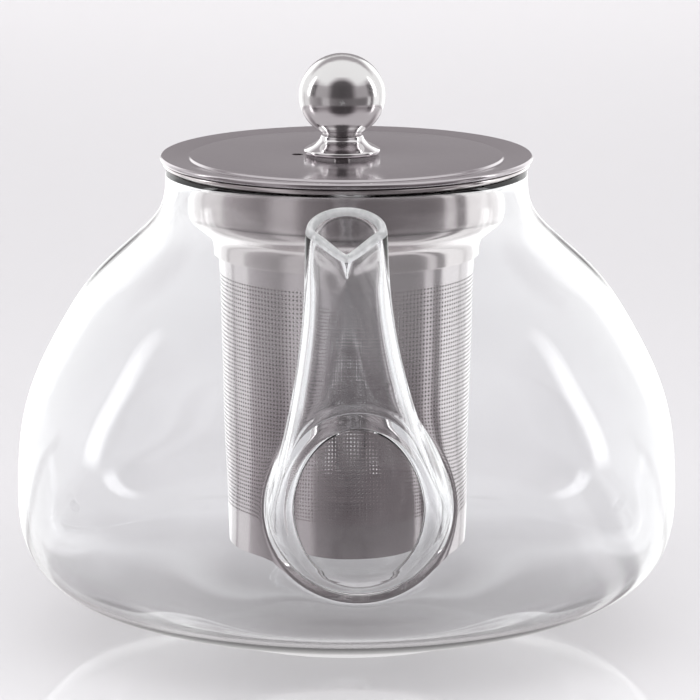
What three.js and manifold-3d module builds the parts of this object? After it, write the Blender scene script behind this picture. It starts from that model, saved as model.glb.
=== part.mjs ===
// A blown-glass teapot with a lift-out steel infuser and a lift-off steel lid.
// Millimetres, +Z up. The origin is on the vessel's axis, at table level.
// The spout stands on the -Y side and the handle on the +Y side.

import * as THREE from "three";
import { mergeVertices } from "three/addons/utils/BufferGeometryUtils.js";
import Module from "manifold-3d";

// ---- Driving dimensions -------------------------------------------------

const FIT_GAP = 0.3; // clearance between neighbouring pieces
const LARGE_SIDES = 48; // sides of every large round piece
const SMALL_SIDES = 24; // sides of every small round piece

const GLASS_WALL = 2.2;
const FOOT_RADIUS = 25; // flat patch that rests on the table
const HEEL_RADIUS = 53.2; // where the shallow underside turns up into the belly
const HEEL_HEIGHT = 6.6;
const BELLY_RADIUS = 89.5;
const BELLY_HEIGHT = 37;
const SHOULDER_RADIUS = 70.5; // where the belly turns into the neck
const SHOULDER_HEIGHT = 96.5;
const NECK_RADIUS = 49.1;
const NECK_HEIGHT = 120.2; // the neck is straight from here to the rim
const RIM_HEIGHT = 129;

const SPOUT_FOOT = new THREE.Vector3(3, -84.2, 54.8);
const SPOUT_FOOT_RADIUS = 24.3; // weld ring round the hole in the vessel
const SPOUT_FOOT_RISE = 10; // degrees by which the foot points up
const SPOUT_TUBE_RADIUS = 12.9; // above the flare
const SPOUT_MOUTH = new THREE.Vector3(0, -107, 130);
const SPOUT_MOUTH_RADIUS = 10.3;
const SPOUT_MOUTH_LEAN = 22.6; // degrees by which the mouth leans outwards
const SPOUT_LIP = 3.7; // how far the pouring lip is pulled forward
const SPOUT_WALL = 2;
const SPOUT_HOLE_HALF_WIDTH = 16.5;
const SPOUT_HOLE_HALF_HEIGHT = 19.3;

const HANDLE_RADIUS = 5.6; // half the thickness of the solid rod
const HANDLE_TOP_HEIGHT = 97; // where the rod meets the shoulder
const HANDLE_FOOT_HEIGHT = 42; // where it meets the belly
const HANDLE_REACH = 130; // centre line of the outer run, from the axis

const STEEL = 0.8; // sheet thickness of the infuser
const FLANGE_RADIUS = 49.4;
const DRUM_RADIUS = 42.6;
const DRUM_BOTTOM = 117.5;
const BASKET_TOP_RADIUS = 34.6;
const BASKET_BOTTOM_RADIUS = 32;
const BASKET_TOP = 107.5;
const BASKET_BOTTOM = 26;
const SEAM_OVERLAP = 3; // lap of the collar over the basket
const CUP_HEIGHT = 5; // upturned edge of the basket's bottom plate

const LID_RADIUS = 50.2;
const LID_SHEET = 1;
const LID_HEM = 1.6; // height of the folded hem round the lid
const PANEL_RADIUS = 42; // raised middle panel of the lid
const PANEL_STEP = 0.6;
const VENT_RADIUS = 1.5;
const VENT_REACH = 13.2; // distance from the axis to the steam vent
const SKIRT_RADIUS = 41.2; // ring that centres the lid in the drum
const SKIRT_DEPTH = 9;
const SKIRT_SEAT = 5; // width of the skirt's inward seat

const KNOB_RADIUS = 11.7;
const KNOB_HALF_HEIGHT = 11.4;
const KNOB_TOP = 159.3;
const KNOB_WAIST_RADIUS = 5.6;
const KNOB_WAIST_HEIGHT = 137.2;
const KNOB_FOOT_RADIUS = 10.3;
const KNOB_OFFSET = -1.2; // the knob sits this far off the middle of the lid, along X
const SCREW_RADIUS = 2;
const SCREW_LENGTH = 12;
const SCREW_HEAD_RADIUS = 3.6;
const SCREW_HEAD_HEIGHT = 2;
const WASHER_RADIUS = 5;
const WASHER_THICKNESS = 0.8;

// Levels that follow from the sizes above, from the vessel's rim upwards.
const FLANGE_BOTTOM = RIM_HEIGHT + FIT_GAP;
const FLANGE_TOP = FLANGE_BOTTOM + STEEL;
const LID_BOTTOM = FLANGE_TOP + FIT_GAP;
const LID_TOP = LID_BOTTOM + LID_HEM;
const PANEL_TOP = LID_TOP - 0.2;
const PANEL_BOTTOM = PANEL_TOP - LID_SHEET;

// ---- Materials ----------------------------------------------------------

function material(color, roughness, metalness) {
  return new THREE.MeshStandardMaterial({ color, roughness, metalness });
}

const clearGlass = () => material(0xdfe6e4, 0.03, 0);
const mirrorSteel = () => material(0xc9c8cb, 0.08, 1);
const satinSteel = () => material(0xa9a5aa, 0.3, 1);

// ---- Shape helpers ------------------------------------------------------

const point = (radius, height) => new THREE.Vector2(radius, height);
const radians = (degrees) => THREE.MathUtils.degToRad(degrees);

/** Points along a cubic curve, without its first point. */
function curved(start, startHandle, endHandle, end, steps) {
  const curve = new THREE.CubicBezierCurve(start, startHandle, endHandle, end);
  return curve.getPoints(steps).slice(1);
}

/** A solid turned about +Z from an outline that ends on the axis or closes on itself. */
function turned(outline, sides) {
  const geometry = new THREE.LatheGeometry(outline, sides);
  geometry.rotateX(Math.PI / 2);
  return geometry;
}

/** The same, for a ring: the outline is closed back to its first point. */
function turnedRing(outline, sides) {
  return turned([...outline, outline[0].clone()], sides);
}

/** A solid through a row of equal loops of points, closed flat at both ends. */
function lofted(loops) {
  const sides = loops[0].length;
  const corners = loops.flat();
  const firstCentre = corners.length;
  const lastCentre = firstCentre + 1;
  const lastRow = (loops.length - 1) * sides;
  const indices = [];
  for (let side = 0; side < sides; side += 1) {
    const next = (side + 1) % sides;
    for (let row = 0; row < lastRow; row += sides) {
      indices.push(row + side, row + next, row + sides + next);
      indices.push(row + side, row + sides + next, row + sides + side);
    }
    indices.push(firstCentre, next, side);
    indices.push(lastCentre, lastRow + side, lastRow + next);
  }
  const middle = (loop) => loop
    .reduce((sum, corner) => sum.add(corner), new THREE.Vector3())
    .divideScalar(sides);
  const geometry = new THREE.BufferGeometry();
  geometry.setFromPoints([...corners, middle(loops[0]), middle(loops[loops.length - 1])]);
  geometry.setIndex(indices);
  return geometry;
}

// ---- Joining and cutting ------------------------------------------------

const wasm = await Module();
wasm.setup();

function toSolid(geometry) {
  const bare = geometry.clone();
  bare.deleteAttribute("normal");
  bare.deleteAttribute("uv");
  const merged = mergeVertices(bare, 1e-4);
  return new wasm.Manifold(new wasm.Mesh({
    numProp: 3,
    vertProperties: new Float32Array(merged.attributes.position.array),
    triVerts: new Uint32Array(merged.index.array),
  }));
}

function toGeometry(solid) {
  const mesh = solid.getMesh();
  const geometry = new THREE.BufferGeometry();
  geometry.setAttribute("position", new THREE.Float32BufferAttribute(mesh.vertProperties, 3));
  geometry.setIndex(Array.from(mesh.triVerts));
  geometry.computeVertexNormals();
  return geometry;
}

// ---- The glass vessel ---------------------------------------------------

/** The vessel's outline from the foot's middle up to the rim, moved inwards by inset. */
function vesselOutline(inset) {
  const shoulderInset = 0.84 * inset; // the shoulder faces about 33 degrees up
  const shoulderDrop = 0.54 * inset;
  const foot = point(FOOT_RADIUS, inset);
  const heel = point(HEEL_RADIUS - 0.28 * inset, HEEL_HEIGHT + 0.96 * inset);
  const belly = point(BELLY_RADIUS - inset, BELLY_HEIGHT);
  const shoulder = point(SHOULDER_RADIUS - shoulderInset, SHOULDER_HEIGHT - shoulderDrop);
  const neck = point(NECK_RADIUS - inset, NECK_HEIGHT);
  return [
    point(0, inset),
    foot,
    ...curved(foot, point(foot.x + 10, foot.y), point(heel.x - 11, heel.y - 3.3), heel, 3),
    ...curved(heel, point(heel.x + 17.5, heel.y + 5.2), point(belly.x, belly.y - 23.2), belly, 7),
    ...curved(belly, point(belly.x, belly.y + 21), point(shoulder.x + 19, shoulder.y - 28), shoulder, 6),
    ...curved(shoulder, point(shoulder.x - 4.1, shoulder.y + 6.4), point(neck.x, neck.y - 6.2), neck, 5),
    point(neck.x, RIM_HEIGHT),
  ];
}

function vesselShell() {
  const outline = [...vesselOutline(0), ...vesselOutline(GLASS_WALL).reverse()];
  return toSolid(turned(outline, LARGE_SIDES));
}

/** Everything inside the vessel's skin, grown by the fit gap, to trim what is welded on. */
function vesselCore() {
  const outline = [...vesselOutline(-FIT_GAP), point(0, RIM_HEIGHT)];
  return toSolid(turned(outline, LARGE_SIDES));
}

// ---- The spout ----------------------------------------------------------

const SPOUT_STEPS = 12;

function spoutPath() {
  const footDirection = new THREE.Vector3(0, -Math.cos(radians(SPOUT_FOOT_RISE)), Math.sin(radians(SPOUT_FOOT_RISE)));
  const mouthDirection = new THREE.Vector3(0, -Math.sin(radians(SPOUT_MOUTH_LEAN)), Math.cos(radians(SPOUT_MOUTH_LEAN)));
  return new THREE.CubicBezierCurve3(
    SPOUT_FOOT,
    SPOUT_FOOT.clone().addScaledVector(footDirection, 22),
    SPOUT_MOUTH.clone().addScaledVector(mouthDirection, -38),
    SPOUT_MOUTH,
  );
}

/** Half the spout's width at a fraction of its path; the flare is widest sideways. */
function spoutHalfWidth(along) {
  const tube = THREE.MathUtils.lerp(SPOUT_TUBE_RADIUS, SPOUT_MOUTH_RADIUS, along);
  const flare = 1 - THREE.MathUtils.smoothstep(along, 0, 0.9);
  return tube + (SPOUT_FOOT_RADIUS - SPOUT_TUBE_RADIUS) * flare;
}

/** Half the spout's depth, from its back to its front. */
function spoutHalfDepth(along) {
  const tube = THREE.MathUtils.lerp(SPOUT_TUBE_RADIUS, SPOUT_MOUTH_RADIUS, along);
  return tube + (SPOUT_FOOT_RADIUS - SPOUT_TUBE_RADIUS) * (1 - along) ** 3;
}

/** One cross-section: an ellipse whose front is pulled into the pouring lip near the mouth. */
function spoutLoop(centre, tangent, halfWidth, halfDepth, lip) {
  const sideways = new THREE.Vector3(1, 0, 0);
  const backwards = new THREE.Vector3().crossVectors(tangent, sideways).normalize();
  const loop = [];
  for (let side = 0; side < SMALL_SIDES; side += 1) {
    const angle = side / SMALL_SIDES * 2 * Math.PI;
    const front = Math.max(0, -Math.sin(angle));
    const depth = halfDepth * Math.sin(angle) - lip * front ** 4;
    loop.push(centre.clone()
      .addScaledVector(sideways, halfWidth * Math.cos(angle))
      .addScaledVector(backwards, depth));
  }
  return loop;
}

/** The spout's outer skin as a filled solid, or its bore when bore is true. */
function spoutSolid(bore) {
  const path = spoutPath();
  const loops = [];
  for (let step = 0; step <= SPOUT_STEPS; step += 1) {
    const along = step / SPOUT_STEPS;
    const foot = (1 - along) ** 6;
    const wall = bore ? SPOUT_WALL : 0;
    const widthLoss = bore ? (SPOUT_FOOT_RADIUS - wall - SPOUT_HOLE_HALF_WIDTH) * foot : 0;
    const depthLoss = bore ? (SPOUT_FOOT_RADIUS - wall - SPOUT_HOLE_HALF_HEIGHT) * foot : 0;
    loops.push(spoutLoop(
      path.getPoint(along),
      path.getTangent(along),
      spoutHalfWidth(along) - wall - widthLoss,
      spoutHalfDepth(along) - wall - depthLoss,
      SPOUT_LIP * THREE.MathUtils.smoothstep(along, 0.75, 1),
    ));
  }
  // Both solids start inside the vessel, and the bore also runs out past the mouth.
  const shifted = (loop, direction, distance) => loop
    .map((corner) => corner.clone().addScaledVector(direction, distance));
  loops.unshift(shifted(loops[0], path.getTangent(0), bore ? -18 : -6));
  if (bore) {
    loops.push(shifted(loops[loops.length - 1], path.getTangent(1), 2));
  }
  return toSolid(lofted(loops));
}

// ---- The handle ---------------------------------------------------------

const HANDLE_STEPS = 22;
const HANDLE_SIDES = 12;

function handleSolid() {
  const path = new THREE.CatmullRomCurve3([
    new THREE.Vector3(0, 64, HANDLE_TOP_HEIGHT - 4),
    new THREE.Vector3(0, 90, HANDLE_TOP_HEIGHT + 9),
    new THREE.Vector3(0, HANDLE_REACH - 12, HANDLE_TOP_HEIGHT + 4),
    new THREE.Vector3(0, HANDLE_REACH, HANDLE_TOP_HEIGHT - 18),
    new THREE.Vector3(0, HANDLE_REACH - 10, HANDLE_FOOT_HEIGHT + 12),
    new THREE.Vector3(0, 82, HANDLE_FOOT_HEIGHT - 3),
  ], false, "centripetal");
  const sideways = new THREE.Vector3(1, 0, 0);
  const loops = [];
  for (let step = 0; step <= HANDLE_STEPS; step += 1) {
    const centre = path.getPointAt(step / HANDLE_STEPS);
    const tangent = path.getTangentAt(step / HANDLE_STEPS);
    const across = new THREE.Vector3().crossVectors(tangent, sideways).normalize();
    const loop = [];
    for (let side = 0; side < HANDLE_SIDES; side += 1) {
      const angle = side / HANDLE_SIDES * 2 * Math.PI;
      loop.push(centre.clone()
        .addScaledVector(sideways, HANDLE_RADIUS * Math.cos(angle))
        .addScaledVector(across, HANDLE_RADIUS * Math.sin(angle)));
    }
    loops.push(loop);
  }
  return toSolid(lofted(loops));
}

// ---- The infuser --------------------------------------------------------

/** Flange, drum and shoulder, spun from one sheet. */
function infuserCollar() {
  const seamRadius = BASKET_TOP_RADIUS + FIT_GAP + STEEL;
  const wall = (inset) => [
    point(DRUM_RADIUS - inset, DRUM_BOTTOM),
    ...curved(
      point(DRUM_RADIUS - inset, DRUM_BOTTOM),
      point(DRUM_RADIUS - inset, DRUM_BOTTOM - 5),
      point(seamRadius - inset, BASKET_TOP + 5),
      point(seamRadius - inset, BASKET_TOP),
      6,
    ),
    point(seamRadius - inset, BASKET_TOP - SEAM_OVERLAP),
  ];
  const outline = [
    point(FLANGE_RADIUS, FLANGE_BOTTOM),
    point(FLANGE_RADIUS, FLANGE_TOP),
    point(DRUM_RADIUS - STEEL, FLANGE_TOP),
    ...wall(STEEL),
    ...wall(0).reverse(),
    point(DRUM_RADIUS, FLANGE_BOTTOM),
  ];
  return turnedRing(outline, LARGE_SIDES);
}

/** Radius of the basket's outer face at a height. */
function basketRadius(height) {
  const rise = (height - BASKET_BOTTOM) / (BASKET_TOP - BASKET_BOTTOM);
  return THREE.MathUtils.lerp(BASKET_BOTTOM_RADIUS, BASKET_TOP_RADIUS, rise);
}

function infuserBasket() {
  const top = BASKET_TOP - FIT_GAP;
  const outline = [
    point(basketRadius(BASKET_BOTTOM), BASKET_BOTTOM),
    point(basketRadius(top), top),
    point(basketRadius(top) - STEEL, top),
    point(basketRadius(BASKET_BOTTOM) - STEEL, BASKET_BOTTOM),
  ];
  return turnedRing(outline, LARGE_SIDES);
}

/** A shallow cup that closes the basket from inside. */
function infuserBottom() {
  const radius = BASKET_BOTTOM_RADIUS - STEEL - FIT_GAP;
  const bend = 1.5;
  const outline = [
    point(0, BASKET_BOTTOM),
    point(radius - bend, BASKET_BOTTOM),
    point(radius, BASKET_BOTTOM + bend),
    point(radius, BASKET_BOTTOM + CUP_HEIGHT),
    point(radius - STEEL, BASKET_BOTTOM + CUP_HEIGHT),
    point(radius - STEEL, BASKET_BOTTOM + bend + 0.3),
    point(radius - bend - 0.3, BASKET_BOTTOM + STEEL),
    point(0, BASKET_BOTTOM + STEEL),
  ];
  return turned(outline, LARGE_SIDES);
}

// ---- The lid ------------------------------------------------------------

const SCREW_HOLE_RADIUS = SCREW_RADIUS + FIT_GAP;
const LID_HOLE_RADIUS = SCREW_HOLE_RADIUS - KNOB_OFFSET; // the hole round the screw is oversize

/** The pressed cover: a folded hem, a shallow band and a raised middle panel. */
function lidCap() {
  const bandTop = PANEL_TOP - PANEL_STEP;
  const outline = [
    point(LID_HOLE_RADIUS, PANEL_BOTTOM),
    point(PANEL_RADIUS, PANEL_BOTTOM),
    point(PANEL_RADIUS + 0.6, LID_BOTTOM),
    point(LID_RADIUS - 0.5, LID_BOTTOM),
    point(LID_RADIUS, LID_BOTTOM + 0.5),
    point(LID_RADIUS, LID_TOP - 0.5),
    point(LID_RADIUS - 0.5, LID_TOP),
    point(PANEL_RADIUS + 1.2, bandTop),
    point(PANEL_RADIUS + 0.6, bandTop),
    point(PANEL_RADIUS, PANEL_TOP),
    point(LID_HOLE_RADIUS, PANEL_TOP),
  ];
  const vent = new THREE.CylinderGeometry(VENT_RADIUS, VENT_RADIUS, 4 * LID_HEM, SMALL_SIDES / 2);
  vent.rotateX(Math.PI / 2);
  vent.translate(-VENT_REACH, 0, PANEL_BOTTOM);
  return toGeometry(toSolid(turnedRing(outline, LARGE_SIDES)).subtract(toSolid(vent)));
}

/** The ring under the cover that centres the lid in the infuser's drum. */
function lidSkirt() {
  const top = PANEL_BOTTOM - FIT_GAP;
  const outline = [
    point(SKIRT_RADIUS - SKIRT_SEAT, top - STEEL),
    point(SKIRT_RADIUS - STEEL, top - STEEL),
    point(SKIRT_RADIUS - STEEL, top - SKIRT_DEPTH),
    point(SKIRT_RADIUS, top - SKIRT_DEPTH),
    point(SKIRT_RADIUS, top),
    point(SKIRT_RADIUS - SKIRT_SEAT, top),
  ];
  return turnedRing(outline, LARGE_SIDES);
}

// ---- The knob -----------------------------------------------------------

const KNOB_FOOT_BOTTOM = PANEL_TOP + FIT_GAP;

/** A slightly flattened ball with a short neck and a tapped hole. */
function knobBall() {
  const centre = KNOB_TOP - KNOB_HALF_HEIGHT;
  const neckAngle = Math.asin(KNOB_WAIST_RADIUS / KNOB_RADIUS);
  const steps = 12;
  const outline = [
    point(0, KNOB_WAIST_HEIGHT + 8),
    point(SCREW_HOLE_RADIUS, KNOB_WAIST_HEIGHT + 8),
    point(SCREW_HOLE_RADIUS, KNOB_WAIST_HEIGHT + FIT_GAP),
    point(KNOB_WAIST_RADIUS - 0.2, KNOB_WAIST_HEIGHT + FIT_GAP),
  ];
  for (let step = 0; step <= steps; step += 1) {
    const angle = THREE.MathUtils.lerp(neckAngle, Math.PI, step / steps);
    const radius = KNOB_RADIUS * Math.sin(angle);
    outline.push(point(step === steps ? 0 : radius, centre - KNOB_HALF_HEIGHT * Math.cos(angle)));
  }
  return turned(outline, SMALL_SIDES);
}

/** The flared foot between the ball and the lid. */
function knobBase() {
  const rim = KNOB_FOOT_BOTTOM + 1.2;
  const outline = [
    point(SCREW_HOLE_RADIUS, KNOB_FOOT_BOTTOM),
    point(KNOB_FOOT_RADIUS - 0.6, KNOB_FOOT_BOTTOM),
    point(KNOB_FOOT_RADIUS, KNOB_FOOT_BOTTOM + 0.6),
    point(KNOB_FOOT_RADIUS, rim),
    ...curved(
      point(KNOB_FOOT_RADIUS, rim),
      point(KNOB_FOOT_RADIUS - 2, rim + 1.5),
      point(KNOB_WAIST_RADIUS, KNOB_WAIST_HEIGHT - 2),
      point(KNOB_WAIST_RADIUS, KNOB_WAIST_HEIGHT),
      5,
    ),
    point(SCREW_HOLE_RADIUS, KNOB_WAIST_HEIGHT),
  ];
  return turnedRing(outline, SMALL_SIDES);
}

function knobWasher() {
  const top = PANEL_BOTTOM - FIT_GAP;
  const outline = [
    point(SCREW_HOLE_RADIUS, top - WASHER_THICKNESS),
    point(WASHER_RADIUS, top - WASHER_THICKNESS),
    point(WASHER_RADIUS, top),
    point(SCREW_HOLE_RADIUS, top),
  ];
  return turnedRing(outline, SMALL_SIDES);
}

/** The slotted pan-head screw that holds the knob from under the lid. */
function knobScrew() {
  const headTop = PANEL_BOTTOM - 2 * FIT_GAP - WASHER_THICKNESS;
  const headBottom = headTop - SCREW_HEAD_HEIGHT;
  const outline = [
    point(0, headBottom),
    point(SCREW_HEAD_RADIUS - 0.7, headBottom),
    point(SCREW_HEAD_RADIUS, headBottom + 0.7),
    point(SCREW_HEAD_RADIUS, headTop),
    point(SCREW_RADIUS, headTop),
    point(SCREW_RADIUS, headTop + SCREW_LENGTH),
    point(0, headTop + SCREW_LENGTH),
  ];
  const slot = new THREE.BoxGeometry(3 * SCREW_HEAD_RADIUS, 0.9, SCREW_HEAD_HEIGHT);
  slot.translate(0, 0, headBottom);
  return toGeometry(toSolid(turned(outline, SMALL_SIDES / 2)).subtract(toSolid(slot)));
}

// ---- Assembly -----------------------------------------------------------

const core = vesselCore();
const bore = spoutSolid(true);

const fixedPieces = [
  ["glass_body", toGeometry(vesselShell().subtract(bore)), clearGlass()],
  ["spout", toGeometry(spoutSolid(false).subtract(core).subtract(bore)), clearGlass()],
  ["handle", toGeometry(handleSolid().subtract(core)), clearGlass()],
  ["infuser_collar", infuserCollar(), mirrorSteel()],
  ["infuser_basket", infuserBasket(), satinSteel()],
  ["infuser_bottom", infuserBottom(), satinSteel()],
  ["lid_cap", lidCap(), satinSteel()],
  ["lid_skirt", lidSkirt(), mirrorSteel()],
];
const knobPieces = [
  ["knob_base", knobBase(), mirrorSteel()],
  ["knob_ball", knobBall(), mirrorSteel()],
  ["knob_washer", knobWasher(), satinSteel()],
  ["knob_screw", knobScrew(), satinSteel()],
];

function addPieces(group, pieces) {
  for (const [name, geometry, finish] of pieces) {
    const mesh = new THREE.Mesh(geometry, finish);
    mesh.name = name;
    group.add(mesh);
  }
}

const teapot = new THREE.Group();
addPieces(teapot, fixedPieces);

const knob = new THREE.Group();
knob.position.x = KNOB_OFFSET;
addPieces(knob, knobPieces);
teapot.add(knob);

export default teapot;
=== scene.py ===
"""Looks of a blown-glass teapot with a steel infuser and a steel lid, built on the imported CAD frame.

Everything is in metres, +Z up, with the spout towards -Y and the handle towards +Y.
"""

import math

import bmesh
import bpy
import numpy as np
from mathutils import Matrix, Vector


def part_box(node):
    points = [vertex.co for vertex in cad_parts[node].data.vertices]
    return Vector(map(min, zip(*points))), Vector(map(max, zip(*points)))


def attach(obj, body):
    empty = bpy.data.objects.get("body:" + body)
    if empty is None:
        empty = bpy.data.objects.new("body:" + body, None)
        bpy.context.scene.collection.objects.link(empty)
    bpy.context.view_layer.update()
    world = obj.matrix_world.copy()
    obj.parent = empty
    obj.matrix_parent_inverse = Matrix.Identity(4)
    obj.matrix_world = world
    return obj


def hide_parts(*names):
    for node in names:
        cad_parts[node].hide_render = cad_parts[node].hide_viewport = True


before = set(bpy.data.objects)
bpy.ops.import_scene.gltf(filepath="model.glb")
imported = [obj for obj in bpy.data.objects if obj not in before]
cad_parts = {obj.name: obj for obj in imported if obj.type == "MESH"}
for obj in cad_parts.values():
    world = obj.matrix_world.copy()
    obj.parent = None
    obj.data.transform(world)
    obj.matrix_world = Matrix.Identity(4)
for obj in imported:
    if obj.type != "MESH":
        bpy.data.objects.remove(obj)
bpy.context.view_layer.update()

MM = 0.001
TURN = 2 * math.pi
TOUCHING = 0.01 * MM  # points closer than this are in the same place
SHARP_EDGE = math.radians(40)  # faces that meet at more than this keep a visible edge

SPOUT_LOW, SPOUT_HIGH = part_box("spout")
ROD_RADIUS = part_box("handle")[1].x - 0.12 * MM  # keeps the round rod inside the faceted one

# ---- How finely things are drawn ------------------------------------------------

VESSEL_COLUMNS = 96  # grid columns round the vessel
VESSEL_ROWS = 44  # grid rows from the foot to the rim
SPOUT_WINDOW = 14  # grid cells cut out each way for the spout's foot
HANDLE_WINDOW = 4  # and for each end of the handle
TURNED_STEPS = 192  # steps round every turned steel piece
CURVE_SAMPLES = 40  # samples of the vessel's outline for each grid row
SPOUT_LOOPS = 18  # loops along the spout's tube
HANDLE_SAMPLES = 90  # places along the handle's centre line


# ---- Building a mesh ------------------------------------------------------------

class Shell:
    """Points and faces of one piece while it is being put together."""

    def __init__(self):
        self.points = []
        self.faces = []

    def add(self, points):
        """Adds points and returns their numbers, in order."""
        first = len(self.points)
        self.points.extend(tuple(point) for point in points)
        return list(range(first, len(self.points)))

    def strip(self, one, other):
        """Quads between two closed loops whose points match in order."""
        for here in range(len(one)):
            after = (here + 1) % len(one)
            self.faces.append((one[here], one[after], other[after], other[here]))

    def bridge(self, one, other):
        """Quads between two closed loops that may start or run differently, by their best match."""
        near = np.array([self.points[number] for number in one])
        matches = []
        for direction in (1, -1):
            for shift in range(len(other)):
                candidate = other[::direction][shift:] + other[::direction][:shift]
                far = np.array([self.points[number] for number in candidate])
                matches.append((float(((near - far) ** 2).sum()), candidate))
        self.strip(one, min(matches, key=lambda match: match[0])[1])

    def to_object(self, name, subdivisions=0):
        """The finished mesh object, its faces turned outwards, smooth but for its true edges."""
        mesh = bpy.data.meshes.new(name)
        mesh.from_pydata(self.points, [], self.faces)
        work = bmesh.new()
        work.from_mesh(mesh)
        bmesh.ops.recalc_face_normals(work, faces=work.faces)
        if work.calc_volume(signed=True) < 0:
            bmesh.ops.reverse_faces(work, faces=work.faces)
        work.to_mesh(mesh)
        work.free()
        mesh.shade_smooth()
        made = bpy.data.objects.new(name, mesh)
        bpy.context.scene.collection.objects.link(made)
        if subdivisions:
            smoother = made.modifiers.new("smooth", "SUBSURF")
            smoother.levels = subdivisions
            smoother.render_levels = subdivisions
        else:
            mesh.set_sharp_from_angle(angle=SHARP_EDGE)
        return made


# ---- Reading a turned piece's section off the CAD -------------------------------

def cad_section(node):
    """Half the section of a turned CAD node, in order, as (radius, height) about its own axis.

    A ring gives a closed loop. A piece that reaches its axis gives a line from axis to axis,
    starting at the lower end.
    """
    low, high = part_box(node)
    axis = (low.x + high.x) / 2
    work = bmesh.new()
    work.from_mesh(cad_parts[node].data)
    work.transform(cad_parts[node].matrix_world)
    everything = work.verts[:] + work.edges[:] + work.faces[:]
    cut = bmesh.ops.bisect_plane(
        work, geom=everything, dist=1e-7, plane_co=(axis, 0, 0), plane_no=(0, 1, 0),
    )
    links = {}
    for edge in cut["geom_cut"]:
        if isinstance(edge, bmesh.types.BMEdge):
            ends = [(round(v.co.x - axis, 6), round(v.co.z, 6)) for v in edge.verts]
            if ends[0] != ends[1] and min(ends)[0] > -1e-6:
                links.setdefault(ends[0], set()).add(ends[1])
                links.setdefault(ends[1], set()).add(ends[0])
    work.free()
    on_axis = [place for place in links if place[0] < TOUCHING]
    walk = [min(on_axis or links, key=lambda place: place[1])]
    while True:
        onward = [place for place in links[walk[-1]] if place not in walk]
        if not onward:
            break
        walk.append(max(onward))
    return axis, [Vector(place) for place in walk], not on_axis


STRAIGHT = math.radians(0.5)  # a section that bends less than this is straight there
TRUE_CORNER = math.radians(35)  # and one that bends more than this has a corner


def softened(section, closed, edge=0.25 * MM, steps=3):
    """The section with its corners rounded off to a small edge and its facets eased into curves."""
    eased = []
    for here, corner in enumerate(section):
        if not closed and here in (0, len(section) - 1):
            eased.append(corner)
            continue
        back = section[here - 1] - corner
        ahead = section[(here + 1) % len(section)] - corner
        turn = math.pi - back.angle(ahead)
        if turn < STRAIGHT:
            continue
        reach = 0.5 * min(back.length, ahead.length)
        if turn > TRUE_CORNER:
            reach = min(0.9 * reach, edge)
        start = corner + reach * back.normalized()
        end = corner + reach * ahead.normalized()
        for step in range(steps + 1):
            share = step / steps
            eased.append(
                (1 - share) ** 2 * start + 2 * share * (1 - share) * corner + share ** 2 * end
            )
    return [p for n, p in enumerate(eased) if n == 0 or (p - eased[n - 1]).length > 1e-6]


def turned(name, axis, section, closed):
    """A mesh object made by turning a section about the upright line at x = axis."""
    shell = Shell()
    angles = [TURN * step / TURNED_STEPS for step in range(TURNED_STEPS)]
    loops = []
    for radius, height in section:
        if radius < TOUCHING:
            loops.append(shell.add([(axis, 0, height)]))
        else:
            loops.append(shell.add([
                (axis + radius * math.cos(a), radius * math.sin(a), height) for a in angles
            ]))
    pairs = list(zip(loops, loops[1:]))
    if closed:
        pairs.append((loops[-1], loops[0]))
    for one, other in pairs:
        if len(one) > 1 and len(other) > 1:
            shell.strip(one, other)
            continue
        pole, ring = (one, other) if len(one) == 1 else (other, one)
        for here in range(len(ring)):
            shell.faces.append((pole[0], ring[here], ring[(here + 1) % len(ring)]))
    return shell.to_object(name)


def declare(piece, body, slot, *nodes):
    """Attaches a piece to the body that carries it and hides the CAD nodes it stands in for. The slot
    is not used.
    """
    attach(piece, body)
    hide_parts(*nodes)


def remake(node, body, slot, material):
    """A finely turned piece, with softened edges, in place of a turned CAD node."""
    axis, section, closed = cad_section(node)
    piece = turned("fine_" + node, axis, softened(section, closed), closed)
    piece.data.materials.append(material)
    declare(piece, body, slot, node)
    return piece


# ---- The vessel's skins ---------------------------------------------------------

def spline(points, samples):
    """Evenly spaced samples along a natural cubic spline through points."""
    points = np.asarray(points, float)
    steps = np.linalg.norm(np.diff(points, axis=0), axis=1)
    knots = np.concatenate([[0.0], np.cumsum(steps)])
    count = len(points)
    matrix = np.eye(count)
    right = np.zeros_like(points)
    for row in range(1, count - 1):
        before, after = steps[row - 1], steps[row]
        matrix[row, row - 1:row + 2] = before, 2 * (before + after), after
        slope_after = (points[row + 1] - points[row]) / after
        slope_before = (points[row] - points[row - 1]) / before
        right[row] = 6 * (slope_after - slope_before)
    bends = np.linalg.solve(matrix, right)

    places = np.linspace(0, knots[-1], 20 * samples)
    part = np.clip(np.searchsorted(knots, places, side="right") - 1, 0, count - 2)
    width = steps[part][:, None]
    left = (knots[part + 1] - places)[:, None] / width
    rest = 1 - left
    curve = left * points[part] + rest * points[part + 1]
    curve += ((left ** 3 - left) * bends[part] + (rest ** 3 - rest) * bends[part + 1]) * width ** 2 / 6
    lengths = np.concatenate([[0.0], np.cumsum(np.linalg.norm(np.diff(curve, axis=0), axis=1))])
    even = np.linspace(0, lengths[-1], samples)
    return np.stack([np.interp(even, lengths, column) for column in curve.T], axis=1)


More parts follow.
